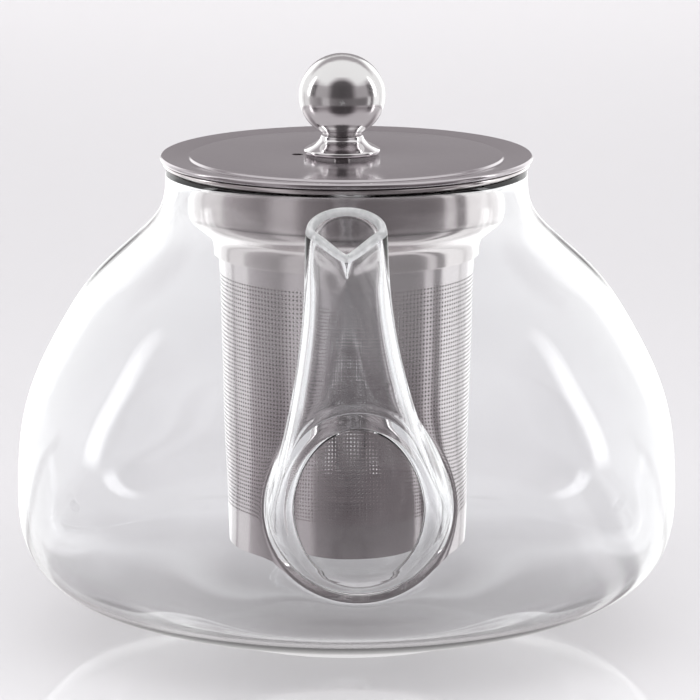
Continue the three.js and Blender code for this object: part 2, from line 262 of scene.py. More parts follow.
class Skin:
    """A smooth skin of revolution, as a map from (column, row) of a grid to a point.

    The spline is held to the outline's lowest height and greatest radius, so the skin stays inside
    the CAD's box.
    """

    def __init__(self, outline):
        self.curve = spline(outline, CURVE_SAMPLES * VESSEL_ROWS)
        self.curve[:, 1] = np.maximum(self.curve[:, 1], outline[0][1])
        self.curve[:, 0] *= max(point[0] for point in outline) / self.curve[:, 0].max()
        self.numbers = np.arange(len(self.curve))

    def at(self, column, row):
        place = min(max(row / VESSEL_ROWS, 0), 1) * self.numbers[-1]
        radius = np.interp(place, self.numbers, self.curve[:, 0])
        height = np.interp(place, self.numbers, self.curve[:, 1])
        turn = TURN * column / VESSEL_COLUMNS
        return Vector((radius * math.cos(turn), radius * math.sin(turn), height))

    def outwards(self, column, row):
        """The skin's outward normal at a grid place."""
        step = 0.05
        sideways = self.at(column + step, row) - self.at(column - step, row)
        upwards = self.at(column, row + step) - self.at(column, row - step)
        return sideways.cross(upwards).normalized()

    def lifted(self, place, height):
        """The point at a grid place, moved off the skin by a height."""
        return self.at(*place) + height * self.outwards(*place)

    def radius_at(self, height):
        """The skin's radius at a height."""
        return float(np.interp(height, self.curve[:, 1], self.curve[:, 0]))

    def row_at(self, height):
        """The row where the skin first reaches a height."""
        above = int(np.argmax(self.curve[:, 1] >= height))
        return above / self.numbers[-1] * VESSEL_ROWS


def ring_angles(cells):
    """One angle for each point round a window of that many cells a side, from the lower left."""
    return [TURN * (step / (4 * cells) - 3 / 8) for step in range(4 * cells)]


class Window:
    """A square hole in a skin's grid, of some cells a side, where a limb joins the vessel."""

    def __init__(self, skin, turn, height, cells):
        self.skin = skin
        self.cells = cells
        self.middle = (turn / TURN % 1 * VESSEL_COLUMNS, skin.row_at(height))
        self.column = round(self.middle[0] - cells / 2)
        self.row = round(self.middle[1] - cells / 2)
        point = skin.at(*self.middle)
        self.column_width = TURN / VESSEL_COLUMNS * math.hypot(point.x, point.y)
        above = skin.at(self.middle[0], self.middle[1] + 1)
        self.row_height = (above - point).length

    def covers(self, column, row):
        """Whether a grid cell falls in the window."""
        across = (column - self.column) % VESSEL_COLUMNS
        return across < self.cells and 0 <= row - self.row < self.cells

    def edge(self):
        """Grid places round the window, anticlockwise from its lower left corner."""
        size, column, row = self.cells, self.column, self.row
        places = [(column + step, row) for step in range(size)]
        places += [(column + size, row + step) for step in range(size)]
        places += [(column + size - step, row + size) for step in range(size)]
        places += [(column, row + size - step) for step in range(size)]
        return places

    def oval(self, half_width, half_height):
        """Grid places of an oval round the window's middle, lying on the skin."""
        return [
            (
                self.middle[0] + half_width * math.cos(angle) / self.column_width,
                self.middle[1] + half_height * math.sin(angle) / self.row_height,
            )
            for angle in ring_angles(self.cells)
        ]


def lay_grid(shell, skin, windows):
    """Lays a skin's quads round its windows, with a flat cap at the foot. Returns its rows."""
    rows = {
        row: shell.add([skin.at(column, row) for column in range(VESSEL_COLUMNS)])
        for row in range(1, VESSEL_ROWS + 1)
    }
    shell.faces.append(tuple(rows[1]))
    for row in range(1, VESSEL_ROWS):
        for column in range(VESSEL_COLUMNS):
            if not any(window.covers(column, row) for window in windows):
                after = (column + 1) % VESSEL_COLUMNS
                shell.faces.append((
                    rows[row][column], rows[row][after], rows[row + 1][after], rows[row + 1][column],
                ))
    return rows


def fill_window(shell, rows, window, oval, loops):
    """Quads from a window's edge in to an oval on the skin. Returns the oval's loop."""
    edge = window.edge()
    previous = [rows[row][column % VESSEL_COLUMNS] for column, row in edge]
    for loop in range(1, loops + 1):
        share = loop / loops
        current = shell.add([
            window.skin.at(
                (1 - share) * start[0] + share * end[0],
                (1 - share) * start[1] + share * end[1],
            )
            for start, end in zip(edge, oval)
        ])
        shell.strip(previous, current)
        previous = current
    return previous


# ---- The spout ------------------------------------------------------------------

# Its path is one Bezier curve, from the middle of the foot to the middle of the mouth.
SPOUT_RISE = math.radians(10)  # how far the foot points up
SPOUT_LEAN = math.radians(22.6)  # how far the mouth leans outwards
SPOUT_FOOT_REACH = 84.2 * MM  # from the vessel's axis to the middle of the foot
SPOUT_FOOT_PULL = 22 * MM  # the length of the curve's handle at the foot
SPOUT_MOUTH_PULL = 38 * MM  # and at the mouth

# The tube.
SPOUT_FOOT_RADIUS = (SPOUT_HIGH.x - SPOUT_LOW.x) / 2
SPOUT_TUBE_RADIUS = 12.9 * MM
SPOUT_MOUTH_RADIUS = 10.3 * MM
SPOUT_WALL = 2 * MM
FLARE_END = 0.9  # share of the path where the foot's flare has died out
LIMB_START = 0.1  # share of the path where the tube has left its weld

# The crotch between the tube's back and the vessel.
CROTCH_REACH = 81.4 * MM  # where the back leaves its weld, from the vessel's axis
CROTCH_HEIGHT = 80.4 * MM
CROTCH_END = 0.6  # share of the path where the back runs free of the vessel
CROTCH_PULL = 7.2 * MM  # how far it keeps its direction below that
CROTCH_WAY = Vector((0, -0.17, 0.98))  # the back's direction there

# The pouring lip and the rim.
LIP_REACH = 3.7 * MM  # how far the lip juts out
LIP_START = 0.72  # share of the path where the round tube starts to take the lip's shape
LIP_PINCH = 0.45  # how much of the round front is drawn into a V at the rim
LIP_BREADTH = 0.5  # the front, from tip to side, over which the pinch fades out
RIM_THICKENING = 0.3  # the rim's extra wall
RIM_CROWN = 0.7 * MM  # how far the rounded rim stands over the tube's end
GROUND_FROM = 0.2 * MM  # past the tube's end, where the ground finish starts

# The weld. Its fillet is rings round the foot, as (past the foot's radius, height over the vessel).
WELD_MARGIN = 1.6 * MM  # from the foot to where the vessel's own surface starts
WELD_FILLET = ((0.7 * MM, 0.1 * MM), (0.1 * MM, 0.7 * MM))

# The oval hole from the vessel into the spout.
HOLE_HALF_WIDTH = 16.5 * MM
HOLE_HALF_HEIGHT = 19.3 * MM
HOLE_ROUNDING = 0.8 * MM  # at its inner and outer edge, and where the bore meets the vessel
HOLE_MARGIN = 2.4 * MM  # from the hole to where the vessel's inner surface starts


def smooth_step(share):
    """A share from 0 to 1, with an eased start and end."""
    share = min(max(share, 0), 1)
    return share * share * (3 - 2 * share)


def spout_ends():
    """The middle of the spout's foot and the middle of its mouth."""
    foot = Vector((
        (SPOUT_HIGH.x + SPOUT_LOW.x) / 2,
        -SPOUT_FOOT_REACH,
        SPOUT_LOW.z + SPOUT_FOOT_RADIUS * math.cos(SPOUT_RISE),
    ))
    mouth = Vector((
        0,
        SPOUT_LOW.y + (SPOUT_MOUTH_RADIUS + LIP_REACH) * math.cos(SPOUT_LEAN),
        SPOUT_HIGH.z - SPOUT_MOUTH_RADIUS * math.sin(SPOUT_LEAN),
    ))
    return foot, mouth


def spout_path(along):
    """Middle, onward direction, half width and half depth of the spout at a share of its path."""
    foot, mouth = spout_ends()
    foot_way = Vector((0, -math.cos(SPOUT_RISE), math.sin(SPOUT_RISE)))
    mouth_way = Vector((0, -math.sin(SPOUT_LEAN), math.cos(SPOUT_LEAN)))
    controls = [
        foot, foot + SPOUT_FOOT_PULL * foot_way, mouth - SPOUT_MOUTH_PULL * mouth_way, mouth,
    ]
    rest = 1 - along
    weights = (rest ** 3, 3 * rest ** 2 * along, 3 * rest * along ** 2, along ** 3)
    middle = sum((w * c for w, c in zip(weights, controls)), Vector((0, 0, 0)))
    slopes = (rest ** 2, 2 * rest * along, along ** 2)
    steps = [after - before for before, after in zip(controls, controls[1:])]
    onward = sum((w * step for w, step in zip(slopes, steps)), Vector((0, 0, 0)))
    tube = SPOUT_TUBE_RADIUS + (SPOUT_MOUTH_RADIUS - SPOUT_TUBE_RADIUS) * along
    flare = SPOUT_FOOT_RADIUS - SPOUT_TUBE_RADIUS
    half_width = tube + flare * (1 - smooth_step(along / FLARE_END))
    half_depth = tube + flare * rest ** 3
    return middle, onward.normalized(), half_width, half_depth


def back_direction(onward):
    """Square to the path in the spout's own plane, towards the vessel."""
    return onward.cross(Vector((1, 0, 0))).normalized()


def crotch_line(along, inset):
    """The tube's back, from the top of its weld up to where it runs free of the vessel."""
    foot, _ = spout_ends()
    start = Vector((foot.x, -CROTCH_REACH, CROTCH_HEIGHT))
    middle, onward, _, half_depth = spout_path(CROTCH_END)
    end = middle + half_depth * back_direction(onward)
    bend = end - CROTCH_PULL * CROTCH_WAY
    share = min(along / CROTCH_END, 1)
    rest = 1 - share
    point = rest ** 2 * start + 2 * rest * share * bend + share ** 2 * end
    way = rest * (bend - start) + share * (end - bend)
    return point - inset * back_direction(Vector((0, way.y, way.z)))


def mouth_share(along):
    """How much of the pouring lip's shape the tube has taken on."""
    return smooth_step((along - LIP_START) / (1 - LIP_START))


def spout_outline(along):
    """The tube's outline in its own plane, as (across, towards the back) for each ring angle."""
    _, _, half_width, half_depth = spout_path(along)
    share = mouth_share(along)
    outline = []
    for angle in ring_angles(SPOUT_WINDOW):
        front = max(0, -math.sin(angle))
        pinch = LIP_PINCH * share ** 4 * smooth_step(front / LIP_BREADTH)
        pointed = math.copysign(1 - front, math.cos(angle))
        across = half_width * ((1 - pinch) * math.cos(angle) + pinch * pointed)
        outline.append(Vector((
            across, half_depth * math.sin(angle) - LIP_REACH * share * front ** 4,
        )))
    return outline


def inset_outline(outline, inset):
    """An outline moved inwards by a distance."""
    moved = []
    for here, point in enumerate(outline):
        way = (outline[(here + 1) % len(outline)] - outline[here - 1]).normalized()
        moved.append(point + inset * Vector((-way.y, way.x)))
    return moved


def spout_loop(along, inset, raised=0.0):
    """One loop of the spout's outer surface, or of its bore when inset by the wall.

    It may be raised along the path. Up to the end of the crotch its back follows the crotch line.
    """
    middle, onward, _, half_depth = spout_path(along)
    back = back_direction(onward)
    shift = Vector((0, 0, 0))
    if along < CROTCH_END:
        shift = crotch_line(along, inset) - (middle + (half_depth - inset) * back)
        shift.x = 0
    points = []
    for angle, (across, depth) in zip(
        ring_angles(SPOUT_WINDOW), inset_outline(spout_outline(along), inset),
    ):
        point = middle + Vector((across, 0, 0)) + depth * back + raised * onward
        points.append(point + smooth_step(max(0, math.sin(angle))) * shift)
    return points


def tube_wall(along):
    """The tube's wall, which thickens towards the rim."""
    return SPOUT_WALL * (1 + RIM_THICKENING * mouth_share(along))


def between(one, other, share):
    """Points part of the way from one loop's to another's."""
    return [(1 - share) * a + share * b for a, b in zip(one, other)]


def run_loops(shell, loops, previous=None):
    """Quads along a row of loops of points. Returns the last loop's numbers."""
    for points in loops:
        current = shell.add(points)
        if previous:
            shell.strip(previous, current)
        previous = current
    return previous


def foot_rings(window, radius, rings):
    """Circles round a limb's foot, by (past its radius, height over the skin), as loops of points."""
    return [
        [window.skin.lifted(place, rise) for place in window.oval(radius + past, radius + past)]
        for past, rise in rings
    ]


def hole_ring(window, margin):
    """The points of the spout's hole on one skin, wider all round by a margin."""
    places = window.oval(HOLE_HALF_WIDTH + margin, HOLE_HALF_HEIGHT + margin)
    return [window.skin.at(*place) for place in places]


def all_spout_loops(window):
    """All the spout's loops: up the outside, over the rim, and down the bore to the vessel."""
    shares = [LIMB_START + (1 - LIMB_START) * n / SPOUT_LOOPS for n in range(SPOUT_LOOPS + 1)]
    outside = [spout_loop(share, 0) for share in shares]
    inside = [spout_loop(share, tube_wall(share)) for share in reversed(shares)]
    weld = foot_rings(window, SPOUT_FOOT_RADIUS, WELD_FILLET)
    weld += [between(weld[-1], outside[0], share) for share in (0.25, 0.5, 0.75)]
    rim = [spout_loop(1, share * tube_wall(1), RIM_CROWN) for share in (0.25, 0.75)]
    bore_end = foot_rings(
        window, SPOUT_FOOT_RADIUS - SPOUT_WALL, ((0, HOLE_ROUNDING), (-HOLE_ROUNDING, 0)),
    )
    bore = [between(inside[-1], bore_end[0], share) for share in (0.33, 0.66)]
    return weld + outside + rim + inside + bore + bore_end


def add_spout(shell, outer_rows, inner_rows, outer_window, inner_window):
    """The spout and the hole that leads into it, welded into both skins."""
    weld = outer_window.oval(SPOUT_FOOT_RADIUS + WELD_MARGIN, SPOUT_FOOT_RADIUS + WELD_MARGIN)
    outer_edge = fill_window(shell, outer_rows, outer_window, weld, loops=4)
    hole_wall = between(hole_ring(outer_window, 0), hole_ring(inner_window, 0), 0.5)
    last = run_loops(
        shell,
        all_spout_loops(outer_window) + [hole_ring(outer_window, HOLE_ROUNDING), hole_wall],
        outer_edge,
    )
    surround = inner_window.oval(HOLE_HALF_WIDTH + HOLE_MARGIN, HOLE_HALF_HEIGHT + HOLE_MARGIN)
    inner_edge = fill_window(shell, inner_rows, inner_window, surround, loops=4)
    shell.strip(last, run_loops(shell, [hole_ring(inner_window, HOLE_ROUNDING)], inner_edge))


# ---- The handle -----------------------------------------------------------------

HANDLE_CLEAR = 6 * MM  # from a weld to the rod's first full loop
HANDLE_MARGIN = 3 * MM  # from the rod to where the vessel's own surface starts
# Rings round each weld, as (past the rod's radius, height over the vessel).
HANDLE_FILLET = ((1.5 * MM, 0.3 * MM), (0.6 * MM, 1.2 * MM), (0.1 * MM, 2.8 * MM))


def handle_line(samples):
    """The handle's centre line, from its upper end to its lower end, traced off the CAD rod."""
    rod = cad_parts["handle"].data
    places = {
        (round(v.co.y, 5), round(v.co.z, 5)) for v in rod.vertices if v.co.x > ROD_RADIUS - TOUCHING
    }
    line = [min(places, key=lambda place: place[0] - place[1])]
    places.remove(line[0])
    while places:
        line.append(min(places, key=lambda place: math.dist(place, line[-1])))
        places.remove(line[-1])
    return [Vector((0, y, z)) for y, z in spline(line, samples)]


def weld_points(line, skin):
    """Where the handle's centre line leaves the skin, at its upper and its lower end."""
    outside = [point for point in line if point.y > skin.radius_at(point.z)]
    return outside[0], outside[-1]


def add_handle(shell, rows, skin, line, windows):
    """A solid glass rod between its two welds on the vessel."""
    ends = []
    wide = ROD_RADIUS + HANDLE_MARGIN
    for window in windows:
        edge = fill_window(shell, rows, window, window.oval(wide, wide), loops=2)
        ends.append(run_loops(shell, foot_rings(window, ROD_RADIUS, HANDLE_FILLET), edge))
    welds = weld_points(line, skin)
    loops = []
    for before, here, after in zip(line, line[1:], line[2:]):
        nearest = min((here - weld).length for weld in welds)
        if here.y < skin.radius_at(here.z) or nearest < HANDLE_CLEAR:
            continue
        onward = (after - before).normalized()
        sideways = Vector((-1, 0, 0))
        across = onward.cross(sideways)
        loops.append(shell.add([
            here + ROD_RADIUS * (math.cos(a) * sideways + math.sin(a) * across)
            for a in ring_angles(HANDLE_WINDOW)
        ]))
    shell.bridge(ends[0], loops[0])
    for one, other in zip(loops, loops[1:]):
        shell.strip(one, other)
    shell.bridge(loops[-1], ends[1])


def grind_rim(glass, material):
    """Gives the ground finish to the faces at the very end of the spout."""
    _, mouth = spout_ends()
    _, onward, _, _ = spout_path(1)
    glass.data.materials.append(material)
    for face in glass.data.polygons:
        if (face.center - mouth).dot(onward) > GROUND_FROM:
            face.material_index = 1


def build_glass(material, rim_material):
    """Vessel, spout and handle as one fused shell with a real wall."""
    _, outline, _ = cad_section("glass_body")
    rim = max(range(len(outline)), key=lambda number: (outline[number].y, outline[number].x))
    outer, inner = Skin(outline[:rim + 1]), Skin(outline[:rim:-1])
    foot, _ = spout_ends()
    line = handle_line(HANDLE_SAMPLES)
    spout_turn = math.atan2(foot.y, foot.x)
    outer_window = Window(outer, spout_turn, foot.z, SPOUT_WINDOW)
    inner_window = Window(inner, spout_turn, foot.z, SPOUT_WINDOW)
    handle_windows = [
        Window(outer, TURN / 4, weld.z, HANDLE_WINDOW) for weld in weld_points(line, outer)
    ]
    shell = Shell()
    outer_rows = lay_grid(shell, outer, [outer_window] + handle_windows)
    inner_rows = lay_grid(shell, inner, [inner_window])
    shell.strip(outer_rows[VESSEL_ROWS], inner_rows[VESSEL_ROWS])
    add_spout(shell, outer_rows, inner_rows, outer_window, inner_window)
    add_handle(shell, outer_rows, outer, line, handle_windows)
    glass = shell.to_object("fused_glass", subdivisions=1)
    glass.data.materials.append(material)
    grind_rim(glass, rim_material)
    declare(glass, "teapot", "glass", "glass_body", "spout", "handle")


# ---- The infuser's basket -------------------------------------------------------

HOLE_ROWS = 58
HOLE_COLUMNS = 194  # round the whole basket
HALF_COLUMNS = HOLE_COLUMNS // 2
HOLE_RADIUS = 0.32 * MM
HOLE_SIDES = 6
HOLES_LOW = 36.4 * MM  # the perforation's lower and upper edge
HOLES_HIGH = 99.6 * MM
HOLE_PITCH = (HOLES_HIGH - HOLES_LOW) / HOLE_ROWS

# One cell of the sheet, by the numbers of its corners (0-3, from the lower left) and its hole (4-9,
# from the right), both anticlockwise.
CELL_FACES = [
    (2, 5, 4), (2, 4, 1), (1, 4, 9), (1, 9, 8, 0), (0, 8, 7), (0, 7, 3), (3, 7, 6), (3, 6, 5, 2),
]


def patch(one, other, place):
    """A quad between two open rows of points, from a place to the next one along."""
    return (one[place], one[place + 1], other[place + 1], other[place])


def perforate(shell, grids, point, column_width):
    """Fills the cells of both faces of the sheet round their holes, and lines the holes."""
    for row in range(1, HOLE_ROWS + 1):
        middle = HOLES_LOW + HOLE_PITCH * (row - 1) + HOLE_PITCH / 2
        for column in range(HALF_COLUMNS):
            rims = []
            for side, grid in enumerate(grids):
                rim = shell.add([
                    point(
                        side,
                        column + 0.5 + HOLE_RADIUS / column_width * math.cos(TURN * n / HOLE_SIDES),
                        middle + HOLE_RADIUS * math.sin(TURN * n / HOLE_SIDES),
                    )
                    for n in range(HOLE_SIDES)
                ])
                numbers = [*patch(grid[row], grid[row + 1], column), *rim]
                shell.faces += [tuple(numbers[n] for n in face) for face in CELL_FACES]
                rims.append(rim)
            shell.strip(*rims)


def build_basket_half(name, first_turn, material):
    """Half of the perforated tube, with real holes through a real wall."""
    _, section, _ = cad_section("infuser_basket")
    low, high = min(p.y for p in section), max(p.y for p in section)
    foot = sorted(p.x for p in section if p.y < low + TOUCHING)
    head = sorted(p.x for p in section if p.y > high - TOUCHING)
    shell = Shell()

    def point(side, column, height):
        """A point of the inner (0) or outer (1) face of the wall."""
        share = (height - low) / (high - low)
        radius = foot[-side] + (head[-side] - foot[-side]) * share
        angle = first_turn + math.pi * column / HALF_COLUMNS
        return (radius * math.cos(angle), radius * math.sin(angle), height)

    levels = [low] + [HOLES_LOW + HOLE_PITCH * row for row in range(HOLE_ROWS + 1)] + [high]
    columns = range(HALF_COLUMNS + 1)
    grids = [
        [shell.add([point(side, column, level) for column in columns]) for level in levels]
        for side in (0, 1)
    ]
    mean_radius = (foot[-1] + head[-1]) / 2
    perforate(shell, grids, point, math.pi * mean_radius / HALF_COLUMNS)
    for grid in grids:
        for row in (0, HOLE_ROWS + 1):
            shell.faces += [patch(grid[row], grid[row + 1], c) for c in range(HALF_COLUMNS)]
    inner, outer = grids
    for row in (0, -1):
        shell.faces += [patch(inner[row], outer[row], c) for c in range(HALF_COLUMNS)]
    for column in (0, -1):
        sides = [[row[column] for row in grid] for grid in grids]
        shell.faces += [patch(*sides, row) for row in range(HOLE_ROWS + 2)]
    half = shell.to_object(name)
    half.data.materials.append(material)
    declare(half, "infuser", "satin_steel", "infuser_basket")


# ---- The lid's vent -------------------------------------------------------------

VENT_RADIUS = 1.5 * MM
VENT_REACH = 13.2 * MM  # from the lid's axis, to the left
DRILL_MARGIN = 2 * MM  # how far the drill passes the lid above and below


def drill_vent(lid):
    """Cuts the steam vent through the lid's panel."""
    low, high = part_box("lid_cap")
    below, above = low.z - DRILL_MARGIN, high.z + DRILL_MARGIN
    drill = [(0, below), (VENT_RADIUS, below), (VENT_RADIUS, above), (0, above)]
    cutter = turned("vent_cutter", -VENT_REACH, drill, False)
    cut = lid.modifiers.new("vent", "BOOLEAN")
    cut.operation = "DIFFERENCE"
    cut.solver = "EXACT"
    cut.object = cutter
    ready = lid.evaluated_get(bpy.context.evaluated_depsgraph_get())
    drilled = bpy.data.meshes.new_from_object(ready)
    lid.modifiers.remove(cut)
    drilled.set_sharp_from_angle(angle=SHARP_EDGE)
    lid.data = drilled
    bpy.data.objects.remove(cutter)


# ---- Materials ------------------------------------------------------------------

def new_material(name):
    """A node material: itself, its nodes, its links and its Principled shader."""
    made = bpy.data.materials.new(name)
    made.use_nodes = True
    nodes = made.node_tree.nodes
    return made, nodes, made.node_tree.links, nodes["Principled BSDF"]


def grain(nodes, links, scale, detail, stretch=(1, 1, 1)):
    """Noise in the piece's own coordinates, at a scale in features per metre, stretched by axis."""
    where = nodes.new("ShaderNodeTexCoord")
    squeeze = nodes.new("ShaderNodeMapping")
    squeeze.inputs["Scale"].default_value = stretch
    noise = nodes.new("ShaderNodeTexNoise")
    noise.inputs["Scale"].default_value = scale
    noise.inputs["Detail"].default_value = detail
    links.new(where.outputs["Object"], squeeze.inputs["Vector"])
    links.new(squeeze.outputs["Vector"], noise.inputs["Vector"])
    return noise.outputs["Fac"]


def spread(nodes, links, value, low, high):
    """A value from 0 to 1 spread over low to high."""
    span = nodes.new("ShaderNodeMapRange")
    span.inputs["To Min"].default_value = low
    span.inputs["To Max"].default_value = high
    links.new(value, span.inputs["Value"])
    return span.outputs["Result"]


def roughen(nodes, links, shader, height, strength, distance):
    """Bump from a height value, with a strength and a depth in metres."""
    bump = nodes.new("ShaderNodeBump")
    bump.inputs["Strength"].default_value = strength
    bump.inputs["Distance"].default_value = distance
    links.new(height, bump.inputs["Height"])
    links.new(bump.outputs["Normal"], shader.inputs["Normal"])


GLASS_IOR = 1.47


def clear_glass():
    """Clear borosilicate with the faint waviness of blown glass; lamps shine through it."""
    made, nodes, links, shader = new_material("clear_glass")
    shader.inputs["Base Color"].default_value = (0.955, 0.96, 0.965, 1)
    shader.inputs["Transmission Weight"].default_value = 1
    shader.inputs["Roughness"].default_value = 0
    shader.inputs["IOR"].default_value = GLASS_IOR
    waves = grain(nodes, links, scale=35, detail=1, stretch=(1, 1, 0.6))
    roughen(nodes, links, shader, waves, strength=0.03, distance=0.4 * MM)
    path = nodes.new("ShaderNodeLightPath")
    through = nodes.new("ShaderNodeBsdfTransparent")
    through.inputs["Color"].default_value = (0.99, 0.99, 0.99, 1)
    either = nodes.new("ShaderNodeMixShader")
    links.new(path.outputs["Is Shadow Ray"], either.inputs["Fac"])
    links.new(shader.outputs["BSDF"], either.inputs[1])
    links.new(through.outputs["BSDF"], either.inputs[2])
    links.new(either.outputs["Shader"], nodes["Material Output"].inputs["Surface"])
    return made


def ground_glass():
    """The ground rim of the spout: pale, a little frosted and uneven."""
    made, nodes, links, shader = new_material("ground_glass")
    shader.inputs["Transmission Weight"].default_value = 0.5
    shader.inputs["IOR"].default_value = GLASS_IOR
    pits = grain(nodes, links, scale=700, detail=3)
    links.new(spread(nodes, links, pits, 0.2, 0.45), shader.inputs["Roughness"])
    shade = nodes.new("ShaderNodeMix")
    shade.data_type = "RGBA"
    shade.inputs["A"].default_value = (0.58, 0.60, 0.60, 1)
    shade.inputs["B"].default_value = (1, 1, 1, 1)
    links.new(pits, shade.inputs["Factor"])
    links.new(shade.outputs["Result"], shader.inputs["Base Color"])
    roughen(nodes, links, shader, pits, strength=0.5, distance=0.2 * MM)
    return made


def steel(name, colour, roughness, scratch_depth, brushed=(1, 1, 1), edge=1.0):
    """Stainless steel: its colour, range of roughness, fine scratches and how much painted shade
    darkens its outline.

    The scratches are stretched along an axis where brushed is small.
    """
    made, nodes, links, shader = new_material(name)
    shader.inputs["Metallic"].default_value = 1
    clouds = grain(nodes, links, scale=90, detail=3)
    links.new(spread(nodes, links, clouds, *roughness), shader.inputs["Roughness"])
    tone = spread(nodes, links, grain(nodes, links, scale=40, detail=5), 0.92, 1.06)
    # Painted shade: the base colour darkens towards the outline by view angle, down to edge at
    # grazing; with edge at 1 nothing changes.
    outline = nodes.new("ShaderNodeLayerWeight")
    outline.inputs["Blend"].default_value = 0.5
    rim = nodes.new("ShaderNodeMapRange")
    rim.inputs["From Min"].default_value = 0.80
    rim.inputs["From Max"].default_value = 0.97
    rim.inputs["To Min"].default_value = 1
    rim.inputs["To Max"].default_value = edge
    links.new(outline.outputs["Facing"], rim.inputs["Value"])
    tint = nodes.new("ShaderNodeVectorMath")
    tint.operation = "SCALE"
    tint.inputs[0].default_value = colour
    shade = arithmetic(nodes, links, "MULTIPLY", tone, rim.outputs["Result"])
    links.new(shade, tint.inputs["Scale"])
    links.new(tint.outputs["Vector"], shader.inputs["Base Color"])
    scratches = grain(nodes, links, scale=900, detail=3, stretch=brushed)
    roughen(nodes, links, shader, scratches, strength=0.35, distance=scratch_depth)
    return made


# ---- Stage: what the table, the walls and painted reflections show --------------

FLOOR_DROP = 0.2 * MM  # keeps the table clear of the vessel's foot
FLOOR_RADIUS = 3.2  # of the flat table
WALL_BEND = 1.4  # radius of the curve from the table up into the walls
WALL_BEND_STEPS = 16
WALL_HEIGHT = 3.4


def ramp(nodes, links, value, stops):
    """Brightness along a value, by stops of (value, brightness) joined by straight lines."""
    first, last = stops[0][0], stops[-1][0]
    span = nodes.new("ShaderNodeMapRange")
    span.inputs["From Min"].default_value = first
    span.inputs["From Max"].default_value = last
    links.new(value, span.inputs["Value"])
    made = nodes.new("ShaderNodeFloatCurve")
    made.mapping.use_clip = False
    curve = made.mapping.curves[0]
    stops = [((place - first) / (last - first), brightness) for place, brightness in stops]
    curve.points[0].location = stops[0]
    curve.points[1].location = stops[-1]
    for place, brightness in stops[1:-1]:
        curve.points.new(place, brightness)
    for point in curve.points:
        point.handle_type = "VECTOR"
    made.mapping.update()
    links.new(span.outputs["Result"], made.inputs["Value"])
    return made.outputs["Value"]


def arithmetic(nodes, links, operation, *values):
    """One Math node on sockets or numbers."""
    made = nodes.new("ShaderNodeMath")
    made.operation = operation
    for number, value in enumerate(values):
        if isinstance(value, (int, float)):
            made.inputs[number].default_value = value
        else:
            links.new(value, made.inputs[number])
    return made.outputs[0]


# The painted room that reflections see: painted reflections, as brightness by direction from
# STUDIO_CENTRE.
# Low down, on the table round the teapot, by degrees from the front, left (-) and right (+): dark in
# front, a pale panel on each side, and white behind.
ROUND_THE_TABLE = [
    (-180, 1.5), (-141, 1.5), (-137, 1.1), (-125, 1.0), (-124, 0.55), (-120, 0.55), (-119, 0.85),
    (-99, 0.85), (-96, 0.50), (-84, 0.38), (-60, 0.24), (-50, 0.52), (-38, 0.52), (-30, 0.24),
    (-10, 0.16), (0, 0.15), (22, 0.16), (36, 0.18), (60, 0.17), (71, 0.22), (74, 0.72), (81, 0.72),
    (84, 0.18), (91, 0.18), (95, 1.1), (119, 1.1), (120, 0.8), (124, 0.8), (125, 1.0), (137, 1.1),
    (141, 1.5), (180, 1.5),
]
# Above the table's edge: a dark middle, grey walls, a dark gap and a narrow strip light on each
# side, and softboxes behind.
ROUND_THE_WALLS = [
    (-180, 1.5), (-141, 1.5), (-137, 0.98), (-104, 0.98), (-103, 4), (-97, 4), (-95, 0.16),
    (-80, 0.14), (-72, 0.44), (-42, 0.42), (-26, 0.10), (0, 0.08), (26, 0.10), (42, 0.40),
    (72, 0.42), (80, 0.13), (95, 0.14), (97, 4), (103, 4), (104, 0.98), (137, 0.98), (141, 1.5),
    (180, 1.5),
]
# Over them, by degrees from CEILING_AXIS, low in front of the teapot: a painted softbox in the middle.
ALONG_THE_CEILING = [
    (0, 0.08), (36, 0.10), (50, 0.95), (106, 1.0), (114, 0.42), (148, 0.42), (160, 1.3), (180, 1.3),
]
CEILING_AXIS = Vector((0, -0.98, 0.20))
STUDIO_CENTRE = (0, 0, 0.1)
# Where each of them lies, by degrees above (+) or below (-) level.
TABLE_BAND = [(-90, 0), (-62, 0), (-46, 1), (-3, 1), (3, 0), (90, 0)]
WALL_BAND = [(-90, 0), (-3, 0), (3, 1), (24, 1), (38, 0), (90, 0)]
CEILING_BAND = [(-90, 0), (24, 0), (38, 1), (90, 1)]
UNDER_THE_TEAPOT = [(-90, 0.8), (-62, 0.8), (-46, 0), (90, 0)]
# A grey card painted into the studio behind the teapot: a painted reflection for the lid's flat top to
# mirror.
PAINTED_CARD_BREADTH = [(-180, 1), (-166, 1), (-162, 0), (162, 0), (166, 1), (180, 1)]
PAINTED_CARD_HEIGHT = [(-90, 0), (-4, 0), (0, 1), (26, 1), (30, 0), (90, 0)]
PAINTED_CARD_DIMMING = 0.74  # the share of the light behind it that it takes away


